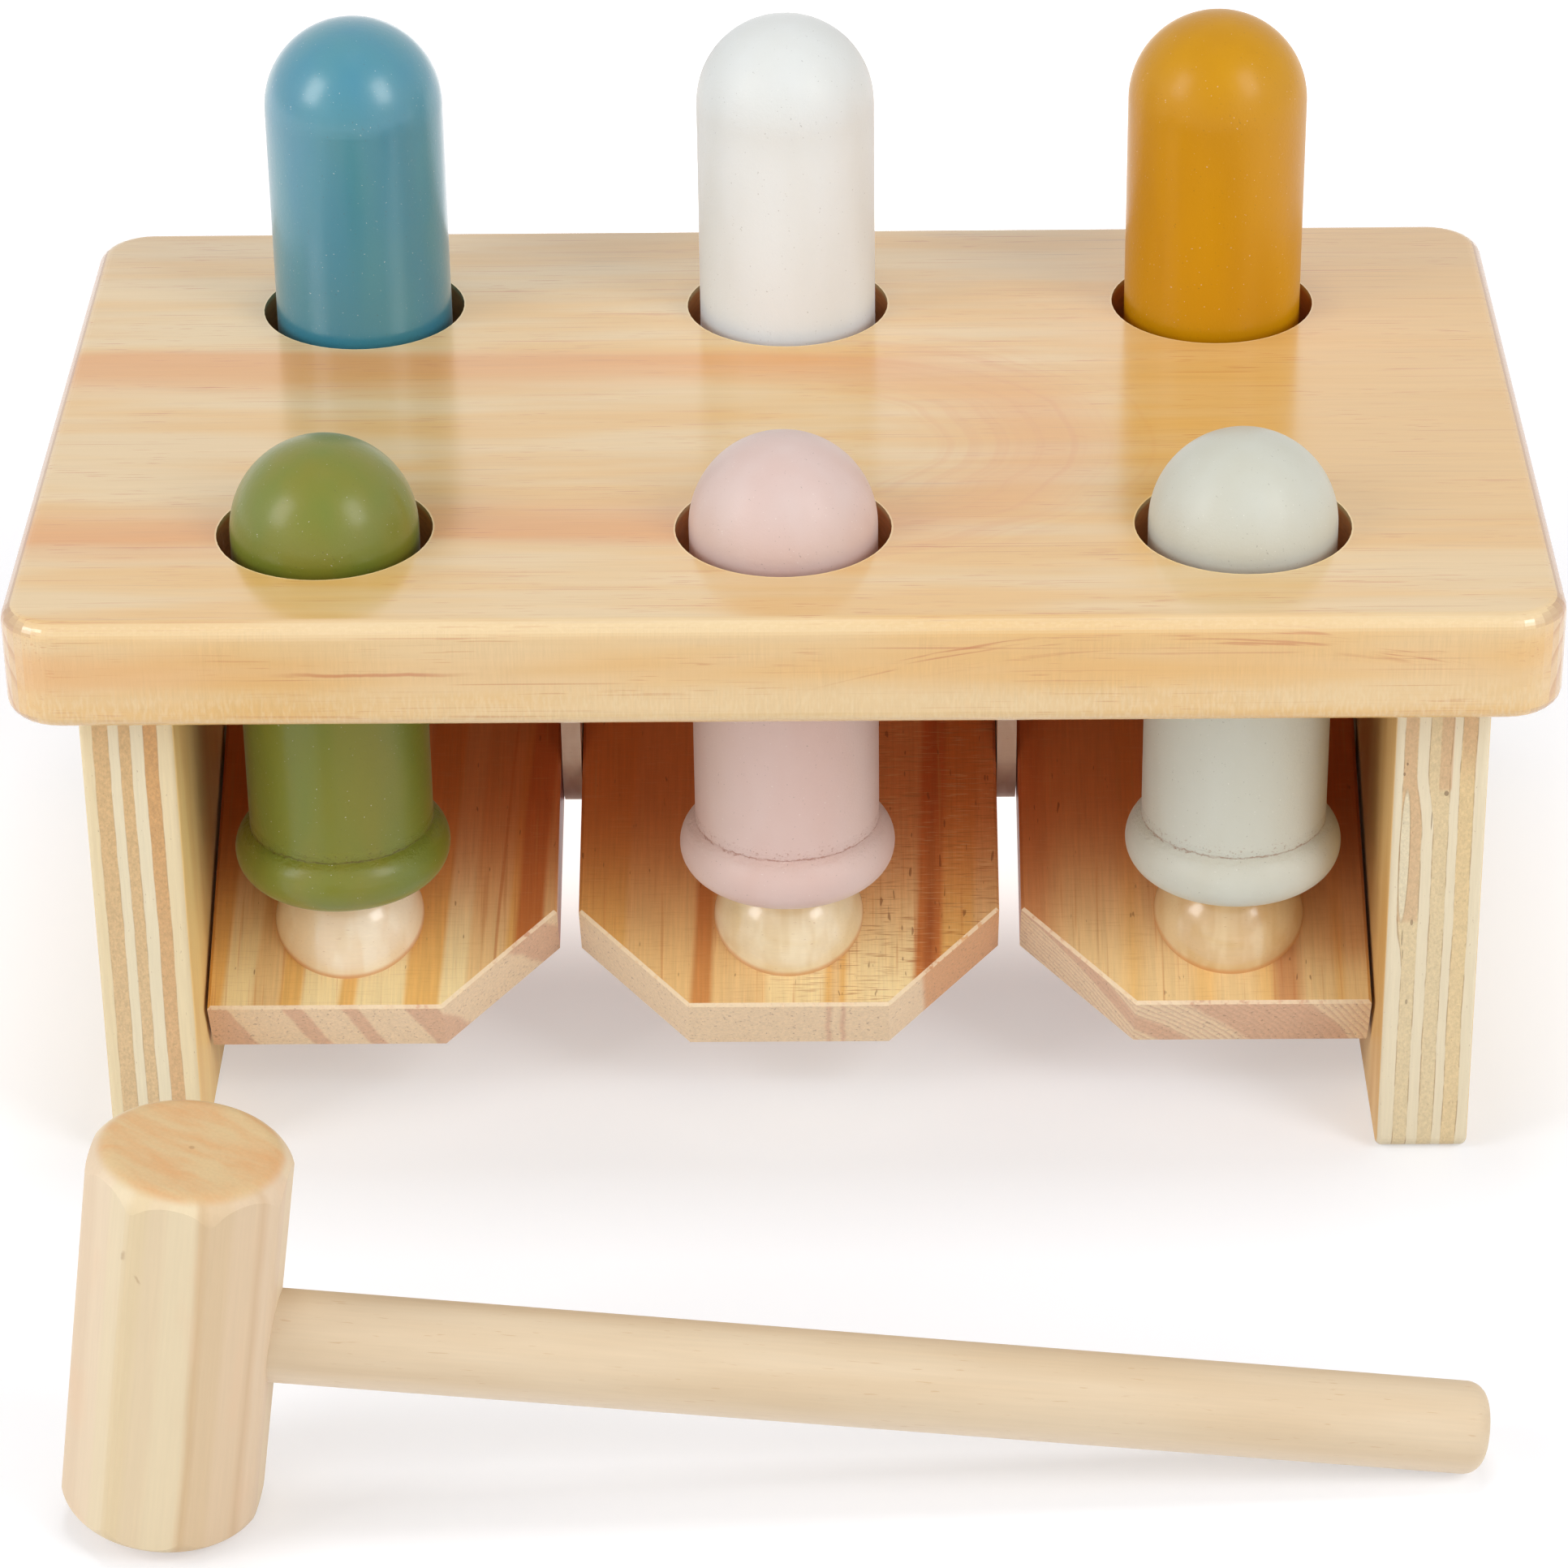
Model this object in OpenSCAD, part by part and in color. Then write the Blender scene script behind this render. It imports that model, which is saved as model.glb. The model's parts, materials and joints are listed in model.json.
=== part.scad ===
// Peg pounding bench with its mallet.
// Three paddles rock on one rod. Each carries a front and a rear peg through the top board.
// Origin: on the floor, in the middle of the bench and mallet together. +Z is up, -Y is the front.

/* [Bench] */
// Width of the top board
board_w = 240; // [225:1:300]
// Depth of the top board
board_d = 148; // [142:1:180]
// Thickness of the top board
board_t = 18; // [15:0.5:24]
// Radius of the top board's four corners, seen from above
board_corner_r = 9; // [5:0.5:14]
// Round-over along the top board's edges
board_edge_r = 2.5; // [1:0.5:4]
// Height of the top board's upper face above the floor
bench_h = 103; // [99:1:125]
// How far the top board stands out past each leg at the ends
board_overhang = 10.2; // [6:0.2:14]

/* [Legs] */
// Thickness of the plywood legs
leg_t = 14.7; // [12:0.1:20]
// How far the legs stand back from the top board's front and rear edges
leg_setback = 10; // [4:0.5:16]
// Radius of the legs' four corners, seen from the side
leg_corner_r = 3; // [1.5:0.5:6]
// Rounding along the legs' edges
leg_edge_r = 1; // [0.5:0.1:1.4]

/* [Dowels] */
// Diameter of the dowels that join the legs to the top board
dowel_d = 8; // [5:0.5:9]
// Depth of each dowel in the top board
dowel_board_depth = 10; // [6:0.5:12]
// Depth of each dowel in its leg
dowel_leg_depth = 16; // [10:1:24]
// Distance between the two dowels of one leg
dowel_pitch = 84; // [50:1:90]

/* [Pegs] */
// Diameter of the peg shafts
peg_d = 29.7; // [26:0.1:30.5]
// Length of a peg from its flat foot to the top of its dome
peg_len = 77; // [70:1:90]
// Radial play of a peg in its hole
hole_play = 2.15; // [1.5:0.05:2.5]
// How far the peg's collar stands out past the hole's edge
collar_lip = 0.4; // [0.3:0.1:1.2]
// Radius of the collar's rounded rim
collar_bead_r = 5; // [4.5:0.1:7]
// Distance from a leg's inner face to the middle of the holes beside it
hole_margin_x = 23.1; // [21:0.1:26]
// Distance between the front and rear rows of holes
hole_pitch_y = 83.5; // [81:0.5:88]

/* [Paddles] */
// Tilt of a paddle when one end is all the way down
paddle_tilt = 27.4; // [24:0.2:28]
// Thickness of the paddles
paddle_t = 12.2; // [10:0.1:13]
// Length of the paddles
paddle_len = 114.4; // [110:0.2:118]
// Gap between neighbouring paddles, where the dividers hang
paddle_gap = 3.6; // [2.6:0.1:4]
// How far the gap's middle lies outside the middle between two holes
paddle_gap_shift = 0.3; // [0:0.1:1]
// Play between an outer paddle and its leg
paddle_side_play = 0.6; // [0.4:0.1:1]
// Size of the cut-off corners
paddle_chamfer = 18.2; // [12:0.1:20]
// Easing of the paddles' sharp edges
paddle_ease = 0.5; // [0.2:0.1:0.8]

/* [Buttons] */
// Diameter of a button's round base
button_d = 24.5; // [20:0.5:26]
// Height of a button above its paddle, a little less than half a ball's
button_h = 10.2; // [9:0.1:10.6]
// Distance from the rod to a button, along the paddle
button_reach = 39.5; // [38:0.1:41]
// Diameter of a button's glued tenon
button_tenon_d = 8; // [5:0.5:10]
// Length of a button's glued tenon
button_tenon_len = 7; // [5:0.5:8]

/* [Rod] */
// Diameter of the rod that the paddles rock on
rod_d = 8; // [5:0.5:8.5]
// Running clearance round the rod in the paddles
rod_play = 0.06; // [0.03:0.01:0.09]
// Depth of the rod's blind holes in the legs
rod_seat = 8; // [6:0.5:10]
// Width of a divider, which is also its round foot's diameter
divider_w = 22.4; // [16:0.4:26]
// Play between a divider and the paddle beside it
divider_play = 0.2; // [0.1:0.05:0.4]
// Depth of the divider's groove in the top board
divider_groove = 4; // [2:0.5:6]

/* [Clearances] */
// Gap between a raised peg's collar and the hole's lower edge
stop_play = 0.3; // [0.2:0.05:0.6]
// Gap between a resting peg's foot and its button
foot_play = 0.7; // [0.65:0.05:0.95]

/* [Mallet] */
// Size of the mallet's head across its corners
head_d = 30.2; // [26:0.2:34]
// Length of the mallet's head
head_len = 62.6; // [52:0.2:70]
// Rounding of the ridges between the head's flats
head_ridge_r = 4; // [2:0.1:6]
// Rounding of the head's ends
head_end_r = 4; // [2:0.1:5]
// Turn of the head's flats about its own length
head_turn = 14; // [0:0.2:22]
// Diameter of the mallet's handle
handle_d = 13.8; // [11:0.2:16]
// Length of the handle from the head's middle to its end
handle_len = 193.5; // [160:0.5:198]
// Rounding of the handle's end
handle_end_r = 3; // [1.5:0.1:5]
// How far the handle goes into the head past its middle
handle_seat = 7; // [4:0.5:9]
// Direction of the handle, turned back from straight right
mallet_turn = 2.8; // [0:0.1:5]
// Distance from the bench's middle to the mallet head's middle, to the left
mallet_left = 87.8; // [70:0.2:90]
// Distance from the board's front to the mallet head's middle
mallet_front = 83.5; // [60:0.5:120]

/* [Hidden] */
$fn = 96;
// Facets round a full circle where a shape is blended by a hull
soft_fn = 32;
// How far every cut runs past the face that it opens
over = 1;

pine = [0.89, 0.78, 0.61];
plywood = [0.92, 0.83, 0.68];
paddle_wood = [0.80, 0.55, 0.30];
turned_wood = [0.91, 0.80, 0.62];
mallet_wood = [0.90, 0.82, 0.69];
green = [0.55, 0.57, 0.30];
pink = [0.87, 0.75, 0.73];
grey = [0.83, 0.83, 0.78];
blue = [0.38, 0.60, 0.66];
white = [0.92, 0.91, 0.89];
mustard = [0.81, 0.62, 0.20];

// Left, middle and right, and front and rear, as signs
left = -1;
middle = 0;
right = 1;
front = -1;
rear = 1;

// Heights and places in the bench
board_low = bench_h - board_t;
leg_inner = board_w / 2 - board_overhang - leg_t;
leg_d = board_d - 2 * leg_setback;
hole_r = peg_d / 2 + hole_play;
hole_pitch_x = leg_inner - hole_margin_x;
hole_y = hole_pitch_y / 2;

// The collar is a rounded rim round the peg's foot, a little wider than the hole
collar_r = hole_r + collar_lip;
foot_r = collar_r - collar_bead_r;
collar_catch = sqrt(pow(collar_bead_r, 2) - pow(hole_r - foot_r, 2));

// A raised peg's collar stops just under the board, and the paddle sets the travel
peg_travel = 2 * button_reach * sin(paddle_tilt);
raised_foot_z = board_low - stop_play - collar_catch - collar_bead_r;
lowered_foot_z = raised_foot_z - peg_travel;
button_r = button_d / 2;

// A button is a ball cut a little above its middle, and the peg's foot rides on the ball's highest point
ball_r = (pow(button_r, 2) + pow(button_h, 2)) / (2 * button_h);
ball_sunk = ball_r - button_h;
pivot_z = lowered_foot_z - foot_play - ball_r
    + button_reach * sin(paddle_tilt) - (paddle_t / 2 - ball_sunk) * cos(paddle_tilt);

// The dividers hang between the holes, the paddles fill what they and the legs leave
divider_x = hole_pitch_x / 2 + paddle_gap_shift;
divider_t = paddle_gap - 2 * divider_play;
paddle_mid_x = divider_x - paddle_gap / 2;
paddle_inner = divider_x + paddle_gap / 2;
paddle_outer = leg_inner - paddle_side_play;

// The mallet head's flats meet in ridges, and its ends are rounded like a turned bar's
head_sides = 8;
head_step = 360 / head_sides;
head_r = head_d / 2;
ridge_ring_r = head_r - head_ridge_r;
handle_r = handle_d / 2;

// The mallet leans until the head's lower rim and the handle's end both touch the floor
rim_ring_r = head_r - head_end_r;
lean_run = handle_len - handle_end_r - rim_ring_r;
lean_rise = head_len / 2 - head_end_r - handle_r + handle_end_r;
mallet_lean = asin((head_end_r - handle_end_r) / norm([lean_run, lean_rise]))
    + atan2(lean_rise, lean_run);
mallet_z = head_end_r + (head_len / 2 - head_end_r) * cos(mallet_lean)
    + rim_ring_r * sin(mallet_lean);

// How far the head reaches to the front of its own middle
function ridge_y(turn) =
    ridge_ring_r * (cos(turn) * cos(mallet_lean) * sin(mallet_turn) + sin(turn) * cos(mallet_turn));
head_reach = head_ridge_r + (head_len / 2 - head_end_r) * sin(mallet_lean) * sin(mallet_turn)
    + max([for (i = [0 : head_sides - 1]) -ridge_y(head_turn + i * head_step)]);

// The bench stands back so that the bench and the mallet are centred together
bench_y = (mallet_front + head_reach) / 2;
mallet_y = bench_y - board_d / 2 - mallet_front;

// A flat plate with rounded corners and rounded edges, centred, its lower face at zero
module soft_plate(size_x, size_y, thick, corner_r, edge_r) {
    hull()
        for (x = [-1, 1], y = [-1, 1], z = [edge_r, thick - edge_r])
            translate([x * (size_x / 2 - corner_r), y * (size_y / 2 - corner_r), z])
                rotate_extrude($fn = soft_fn)
                    translate([corner_r - edge_r, 0])
                        circle(edge_r, $fn = soft_fn);
}

// A round bar on the rod's own line: the rod itself, or a bore with some play round the rod
module rod_bar(length, play) {
    translate([-length / 2, 0, 0])
        rotate([0, 90, 0])
            cylinder(h = length, d = rod_d + 2 * play);
}

// The places of the dowels, at the joint between a leg and the top board
module at_dowels() {
    for (x = [left, right], y = [front, rear])
        translate([x * (leg_inner + leg_t / 2), bench_y + y * dowel_pitch / 2, board_low])
            children();
}

module top_board() {
    color(pine)
        difference() {
            translate([0, bench_y, board_low])
                soft_plate(board_w, board_d, board_t, board_corner_r, board_edge_r);
            for (x = [left, middle, right], y = [front, rear])
                translate([x * hole_pitch_x, bench_y + y * hole_y, board_low - over])
                    cylinder(h = board_t + 2 * over, r = hole_r);
            at_dowels()
                translate([0, 0, -over])
                    cylinder(h = dowel_board_depth + over, d = dowel_d);
            for (x = [left, right])
                translate([x * divider_x - divider_t / 2, bench_y - divider_w / 2, board_low - over])
                    cube([divider_t, divider_w, divider_groove + over]);
        }
}

module leg(side) {
    color(plywood)
        difference() {
            translate([side * (leg_inner + leg_t / 2) - leg_t / 2, bench_y, board_low / 2])
                rotate([0, 90, 0])
                    soft_plate(board_low, leg_d, leg_t, leg_corner_r, leg_edge_r);
            at_dowels()
                translate([0, 0, -dowel_leg_depth])
                    cylinder(h = dowel_leg_depth + over, d = dowel_d);
            translate([0, bench_y, pivot_z])
                rod_bar(2 * (leg_inner + rod_seat), 0);
        }
}

module left_leg() {
    leg(left);
}

module right_leg() {
    leg(right);
}

module board_dowels() {
    color(turned_wood)
        at_dowels()
            translate([0, 0, -dowel_leg_depth])
                cylinder(h = dowel_leg_depth + dowel_board_depth, d = dowel_d);
}

module pivot_rod() {
    color(turned_wood)
        translate([0, bench_y, pivot_z])
            rod_bar(2 * (leg_inner + rod_seat), 0);
}

// A thin plate that hangs in the gap between two paddles and holds the rod
module divider(side) {
    color(pine)
        translate([side * divider_x - divider_t / 2, bench_y, 0])
            difference() {
                union() {
                    translate([0, -divider_w / 2, pivot_z])
                        cube([divider_t, divider_w, board_low + divider_groove - pivot_z]);
                    translate([0, 0, pivot_z])
                        rotate([0, 90, 0])
                            cylinder(h = divider_t, d = divider_w);
                }
                translate([divider_t / 2, 0, pivot_z])
                    rod_bar(divider_t + 2 * over, 0);
            }
}

module left_divider() {
    divider(left);
}

module right_divider() {
    divider(right);
}

// Moves its children from the rod's own place to where a paddle rests, front end down
module at_rest() {
    translate([0, bench_y, pivot_z])
        rotate([paddle_tilt, 0, 0])
            children();
}

// Outline of a paddle from x_low to x_high, with the cut corners on the sides asked for
module paddle_outline(x_low, x_high, cut_low, cut_high, inset) {
    y = paddle_len / 2 - inset;
    a = x_low + inset;
    b = x_high - inset;
    cut = paddle_chamfer - inset * (2 - sqrt(2));
    low_cut = cut_low ? cut : 0;
    high_cut = cut_high ? cut : 0;
    polygon([
        [a + low_cut, -y], [b - high_cut, -y], [b, -y + high_cut], [b, y - high_cut],
        [b - high_cut, y], [a + low_cut, y], [a, y - low_cut], [a, -y + low_cut],
    ]);
}

module paddle(x_low, x_high, cut_low, cut_high, button_x) {
    color(paddle_wood)
        at_rest()
            difference() {
                hull() {
                    translate([0, 0, -paddle_t / 2])
                        linear_extrude(paddle_t)
                            paddle_outline(x_low, x_high, cut_low, cut_high, paddle_ease);
                    translate([0, 0, paddle_ease - paddle_t / 2])
                        linear_extrude(paddle_t - 2 * paddle_ease)
                            paddle_outline(x_low, x_high, cut_low, cut_high, 0);
                }
                translate([(x_low + x_high) / 2, 0, 0])
                    rod_bar(x_high - x_low + 2 * over, rod_play);
                for (y = [front, rear])
                    translate([button_x, y * button_reach, paddle_t / 2 - button_tenon_len])
                        cylinder(h = button_tenon_len + over, d = button_tenon_d);
            }
}

module left_paddle() {
    paddle(-paddle_outer, -paddle_inner, false, true, -hole_pitch_x);
}

module middle_paddle() {
    paddle(-paddle_mid_x, paddle_mid_x, true, true, 0);
}

module right_paddle() {
    paddle(paddle_inner, paddle_outer, true, false, hole_pitch_x);
}

// A ball's upper part on a tenon. The peg's foot rides on it.
module button(side, end) {
    color(turned_wood)
        at_rest()
            translate([side * hole_pitch_x, end * button_reach, paddle_t / 2])
                rotate_extrude()
                    union() {
                        intersection() {
                            translate([0, -ball_sunk])
                                circle(ball_r);
                            square([button_r, button_h]);
                        }
                        translate([0, -button_tenon_len])
                            square([button_tenon_d / 2, button_tenon_len]);
                    }
}

module left_front_button() {
    button(left, front);
}

module middle_front_button() {
    button(middle, front);
}

module right_front_button() {
    button(right, front);
}

module left_rear_button() {
    button(left, rear);
}

module middle_rear_button() {
    button(middle, rear);
}

module right_rear_button() {
    button(right, rear);
}

// A turned peg: domed top, straight shaft, and a rounded collar at its flat foot
module peg(side, end, tint) {
    foot_z = end == front ? lowered_foot_z : raised_foot_z;
    peg_r = peg_d / 2;
    color(tint)
        translate([side * hole_pitch_x, bench_y + end * hole_y, foot_z])
            rotate_extrude()
                union() {
                    intersection() {
                        translate([0, peg_len - peg_r])
                            circle(peg_r);
                        translate([0, peg_len - peg_r])
                            square(peg_r);
                    }
                    square([foot_r, 2 * collar_bead_r]);
                    translate([0, collar_bead_r])
                        square([peg_r, peg_len - peg_r - collar_bead_r]);
                    translate([foot_r, collar_bead_r])
                        circle(collar_bead_r);
                }
}

module green_peg() {
    peg(left, front, green);
}

module pink_peg() {
    peg(middle, front, pink);
}

module grey_peg() {
    peg(right, front, grey);
}

module blue_peg() {
    peg(left, rear, blue);
}

module white_peg() {
    peg(middle, rear, white);
}

module mustard_peg() {
    peg(right, rear, mustard);
}

// Moves its children from the middle of the mallet's head to where the mallet lies
module at_mallet() {
    translate([-mallet_left, mallet_y, mallet_z])
        rotate([0, 0, mallet_turn])
            rotate([0, mallet_lean, 0])
                children();
}

// The handle's blind bore in the head
module handle_bore() {
    translate([-handle_seat, 0, 0])
        rotate([0, 90, 0])
            cylinder(h = handle_seat + head_r + over, r = handle_r);
}

// The head's cross-section: flats that meet in rounded ridges
module head_outline() {
    hull()
        for (i = [0 : head_sides - 1])
            rotate(head_turn + i * head_step)
                translate([ridge_ring_r, 0])
                    circle(head_ridge_r, $fn = soft_fn);
}

// Half of a round bar's profile with rounded ends, for turning about its length
module bar_profile(radius, length, end_r) {
    union() {
        square([radius, length - end_r]);
        square([radius - end_r, length]);
        intersection() {
            translate([radius - end_r, length - end_r])
                circle(end_r);
            square([radius, length]);
        }
    }
}

module mallet_head() {
    color(mallet_wood)
        at_mallet()
            difference() {
                intersection() {
                    translate([0, 0, -head_len / 2])
                        linear_extrude(head_len)
                            head_outline();
                    rotate_extrude()
                        union() {
                            bar_profile(head_r, head_len / 2, head_end_r);
                            mirror([0, 1])
                                bar_profile(head_r, head_len / 2, head_end_r);
                        }
                }
                handle_bore();
            }
}

module mallet_handle() {
    color(mallet_wood)
        at_mallet()
            translate([-handle_seat, 0, 0])
                rotate([0, 90, 0])
                    rotate_extrude()
                        bar_profile(handle_r, handle_seat + handle_len, handle_end_r);
}

top_board();
left_leg();
right_leg();
board_dowels();
pivot_rod();
left_divider();
right_divider();
left_paddle();
middle_paddle();
right_paddle();
left_front_button();
middle_front_button();
right_front_button();
left_rear_button();
middle_rear_button();
right_rear_button();
green_peg();
pink_peg();
grey_peg();
blue_peg();
white_peg();
mustard_peg();
mallet_head();
mallet_handle();
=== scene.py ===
import json
import math

import bpy
import numpy as np
from mathutils import Euler, Matrix, Vector


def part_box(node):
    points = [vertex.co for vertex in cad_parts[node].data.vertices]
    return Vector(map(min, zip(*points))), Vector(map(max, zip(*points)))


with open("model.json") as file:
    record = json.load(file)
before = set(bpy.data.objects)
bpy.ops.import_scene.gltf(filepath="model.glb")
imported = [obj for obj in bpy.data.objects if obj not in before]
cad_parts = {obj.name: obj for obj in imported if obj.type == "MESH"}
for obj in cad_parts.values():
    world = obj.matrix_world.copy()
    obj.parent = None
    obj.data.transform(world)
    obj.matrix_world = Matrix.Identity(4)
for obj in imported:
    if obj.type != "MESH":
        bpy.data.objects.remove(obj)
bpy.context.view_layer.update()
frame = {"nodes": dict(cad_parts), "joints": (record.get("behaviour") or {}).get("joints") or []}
nodes = frame["nodes"]

MM = 0.001
WHITE = (1.0, 1.0, 1.0, 1.0)

# Camera, fitted to the photograph
CAMERA_FROM_BOARD = Vector((11.39, -808.5, 390.5)) * MM
CAMERA_PITCH = math.radians(29.67)
CAMERA_YAW = math.radians(-0.884)
CAMERA_ROLL = math.radians(0.78)
CAMERA_LENS = 125.9
SENSOR = 36.0
CAMERA_CLIP = 20.0

# Studio: two softboxes, and five weak lamps that no surface mirrors.
# Each has its direction from the board, its width and height in metres, its watts, and if it is mirrored
LAMP_DISTANCE = 1.25
LAMPS = {
    "softbox_left": ((-0.74, -0.42, 0.51), (0.44, 0.64), 4.4, True),
    "softbox_right": ((0.62, -0.53, 0.58), (0.44, 0.64), 4.4, True),
    "fill_left": ((-0.6, -0.78, 0.2), (0.8, 0.5), 2.3, False),
    "fill_right": ((0.6, -0.78, 0.2), (0.8, 0.5), 2.3, False),
    "side_left": ((-0.98, -0.05, 0.2), (0.6, 0.6), 1.8, False),
    "side_right": ((0.98, -0.05, 0.2), (0.6, 0.6), 1.8, False),
    "top_light": ((0.0, 0.0, 1.0), (0.36, 0.36), 4.5, False),
}
# The world's light on the object, low down and overhead
HORIZON = 0.43
ZENITH = 0.25

FLOOR_SIZE = 6.0
FLOOR_WHITE = (0.8, 0.8, 0.8, 1.0)
# As the camera sees the floor: a plain part that shadows fall on, and a warm glow that they don't reach
FLOOR_SEEN = (0.615, 0.635, 0.675, 1.0)
FLOOR_GLOW = (0.41, 0.395, 0.385, 1.0)
# The glow grows away from the object, where the lamps fade, between these distances
GLOW_FROM = 0.08
GLOW_TO = 0.6
GLOW_FAR = 2.6
# The share of a distance towards the front or rear that counts
GLOW_DEPTH = 0.75
# Painted light on the floor between the legs, a glow that no lamp sends, lifting the bench's shadow:
# how strong, how far forward, and how far to each side
PAINTED_LIGHT_BETWEEN_LEGS = 1.4
REAR_DEPTH = (0.035, 0.08)
REAR_WIDTH = (0.06, 0.088)


def colour(red, green, blue):
    """A colour as it is seen, 0 to 255, in the linear values that the shaders take."""
    linear = []
    for value in (red, green, blue):
        share = value / 255
        linear.append(share / 12.92 if share <= 0.04045 else ((share + 0.055) / 1.055) ** 2.4)
    return (*linear, 1.0)


class Nodes:
    """A node tree. Its calls add nodes and return their output sockets."""

    def __init__(self, tree):
        self.tree = tree

    def node(self, kind, inputs=(), **settings):
        made = self.tree.nodes.new(kind)
        for key, value in settings.items():
            setattr(made, key, value)
        for key, value in dict(inputs).items():
            if isinstance(value, bpy.types.NodeSocket):
                self.tree.links.new(value, made.inputs[key])
            else:
                made.inputs[key].default_value = value
        return made

    def split(self, vector):
        return self.node("ShaderNodeSeparateXYZ", {0: vector}).outputs

    def join(self, x, y, z):
        return self.node("ShaderNodeCombineXYZ", {0: x, 1: y, 2: z}).outputs[0]

    def math(self, operation, a, b=0.0):
        return self.node("ShaderNodeMath", {0: a, 1: b}, operation=operation).outputs[0]

    def times(self, first, *others):
        for other in others:
            first = self.math("MULTIPLY", first, other)
        return first

    def plus(self, first, *others):
        for other in others:
            first = self.math("ADD", first, other)
        return first

    def minus(self, a, b):
        return self.math("SUBTRACT", a, b)

    def size(self, value):
        """The value without its sign."""
        return self.math("ABSOLUTE", value)

    def larger(self, first, *others):
        for other in others:
            first = self.math("MAXIMUM", first, other)
        return first

    def distance(self, a, b):
        """How far a point is that lies a one way and b at right angles to it."""
        return self.math("SQRT", self.plus(self.times(a, a), self.times(b, b)))

    def moved(self, value, noise, reach):
        """The value moved by a noise about 0.5, over this reach."""
        return self.plus(value, self.times(self.minus(noise, 0.5), reach))

    def step(self, value, low, high, start=0.0, end=1.0):
        """A smooth change from start to end as the value goes from low to high."""
        made = self.node(
            "ShaderNodeMapRange",
            {"Value": value, "From Min": low, "From Max": high, "To Min": start, "To Max": end},
            interpolation_type="SMOOTHSTEP",
        )
        return made.outputs[0]

    def stripe(self, value, middle, half, soft):
        """1 within half of the middle, falling to 0 over soft."""
        return self.step(self.size(self.minus(value, middle)), half, half + soft, 1.0, 0.0)

    def between(self, value, rise, fall):
        """1 after the rise and before the fall, 0 elsewhere. Each is two values that it runs between."""
        return self.times(self.step(value, *rise), self.step(value, *fall, 1.0, 0.0))

    def mix(self, share, a, b, blend="MIX"):
        made = self.node(
            "ShaderNodeMix", {0: share, 6: a, 7: b}, data_type="RGBA", blend_type=blend
        )
        return made.outputs[2]

    def lay(self, tint, tone, mask, share):
        """The tint, covered by a share of the tone where the mask is 1."""
        return self.mix(self.times(mask, share), tint, tone)

    def tinted(self, tint, tone):
        """The tint times the tone."""
        return self.mix(1.0, tint, tone, "MULTIPLY")

    def shade(self, tint, value, dark, light):
        """The tint times a grey that runs from dark to light with a value from 0 to 1."""
        grey = self.step(value, 0.0, 1.0, dark, light)
        return self.tinted(tint, self.join(grey, grey, grey))


class Finish(Nodes):
    """A material. Its point is in a piece's own frame, in millimetres."""

    def __init__(self, name, origin, turn=(0, 0, 0), roughness=0.5, coat=0.0, coat_roughness=0.1):
        self.material = bpy.data.materials.new(name)
        self.material.use_nodes = True
        super().__init__(self.material.node_tree)
        self.shader = self.tree.nodes["Principled BSDF"]
        self.shader.inputs["Roughness"].default_value = roughness
        self.shader.inputs["Coat Weight"].default_value = coat
        self.shader.inputs["Coat Roughness"].default_value = coat_roughness
        self.coordinates = self.node("ShaderNodeTexCoord")
        mapping = self.node(
            "ShaderNodeMapping",
            {"Vector": self.coordinates.outputs["Object"], "Location": origin, "Rotation": turn,
             "Scale": (MM, MM, MM)},
            vector_type="TEXTURE",
        )
        self.point = mapping.outputs["Vector"]
        self.x, self.y, self.z = self.split(self.point)

    def facing(self, direction):
        """How far the surface faces a direction, from -1 to 1."""
        dot = self.node(
            "ShaderNodeVectorMath",
            {0: self.coordinates.outputs["Normal"], 1: Vector(direction).normalized()},
            operation="DOT_PRODUCT",
        )
        return dot.outputs["Value"]

    def square_to(self, direction):
        """How far the surface faces a direction or its opposite, from 0 to 1."""
        return self.size(self.facing(direction))

    def noise(self, period, vector=None, detail=2.0, roughness=0.5, distortion=0.0, seed=0.0):
        """Noise about 0.5. The period is a length, or three lengths for a stretched pattern."""
        sizes = (period,) * 3 if isinstance(period, (int, float)) else period
        mapping = self.node(
            "ShaderNodeMapping",
            {"Vector": self.point if vector is None else vector, "Location": (seed, seed, seed),
             "Scale": tuple(1 / size for size in sizes)},
        )
        made = self.node(
            "ShaderNodeTexNoise",
            {"Vector": mapping.outputs[0], "Scale": 1.0, "Detail": detail, "Roughness": roughness,
             "Distortion": distortion},
        )
        return made.outputs["Fac"]

    def bands(self, value, start, stripes, soft):
        """Bands of colour across a value. Each stripe is its upper end and its colour."""
        end = stripes[-1][0]
        made = self.node(
            "ShaderNodeMapRange", {"Value": value, "From Min": start, "From Max": end}
        )
        ramp = self.node("ShaderNodeValToRGB", {0: made.outputs[0]})
        stops = ramp.color_ramp.elements
        stops[0].position = 0.0
        stops[0].color = stripes[0][1]
        stops[1].position = 1.0
        stops[1].color = stripes[-1][1]
        for (edge, tint), (_, after) in zip(stripes, stripes[1:]):
            for place, stop in ((edge - soft, tint), (edge + soft, after)):
                stops.new((place - start) / (end - start)).color = stop
        return ramp.outputs[0]

    def relief(self, height, depth, before=None):
        """A bump whose height from 0 to 1 stands for a depth in millimetres."""
        inputs = {"Height": height, "Strength": 1.0, "Distance": depth * MM}
        if before is not None:
            inputs["Normal"] = before
        return self.node("ShaderNodeBump", inputs).outputs[0]

    def done(self, tint, normal, roughness=None):
        self.tree.links.new(tint, self.shader.inputs["Base Color"])
        self.tree.links.new(normal, self.shader.inputs["Normal"])
        if roughness is not None:
            self.tree.links.new(roughness, self.shader.inputs["Roughness"])
        return self.material


def wear(thing, material):
    thing.data.materials.clear()
    thing.data.materials.append(material)


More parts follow.
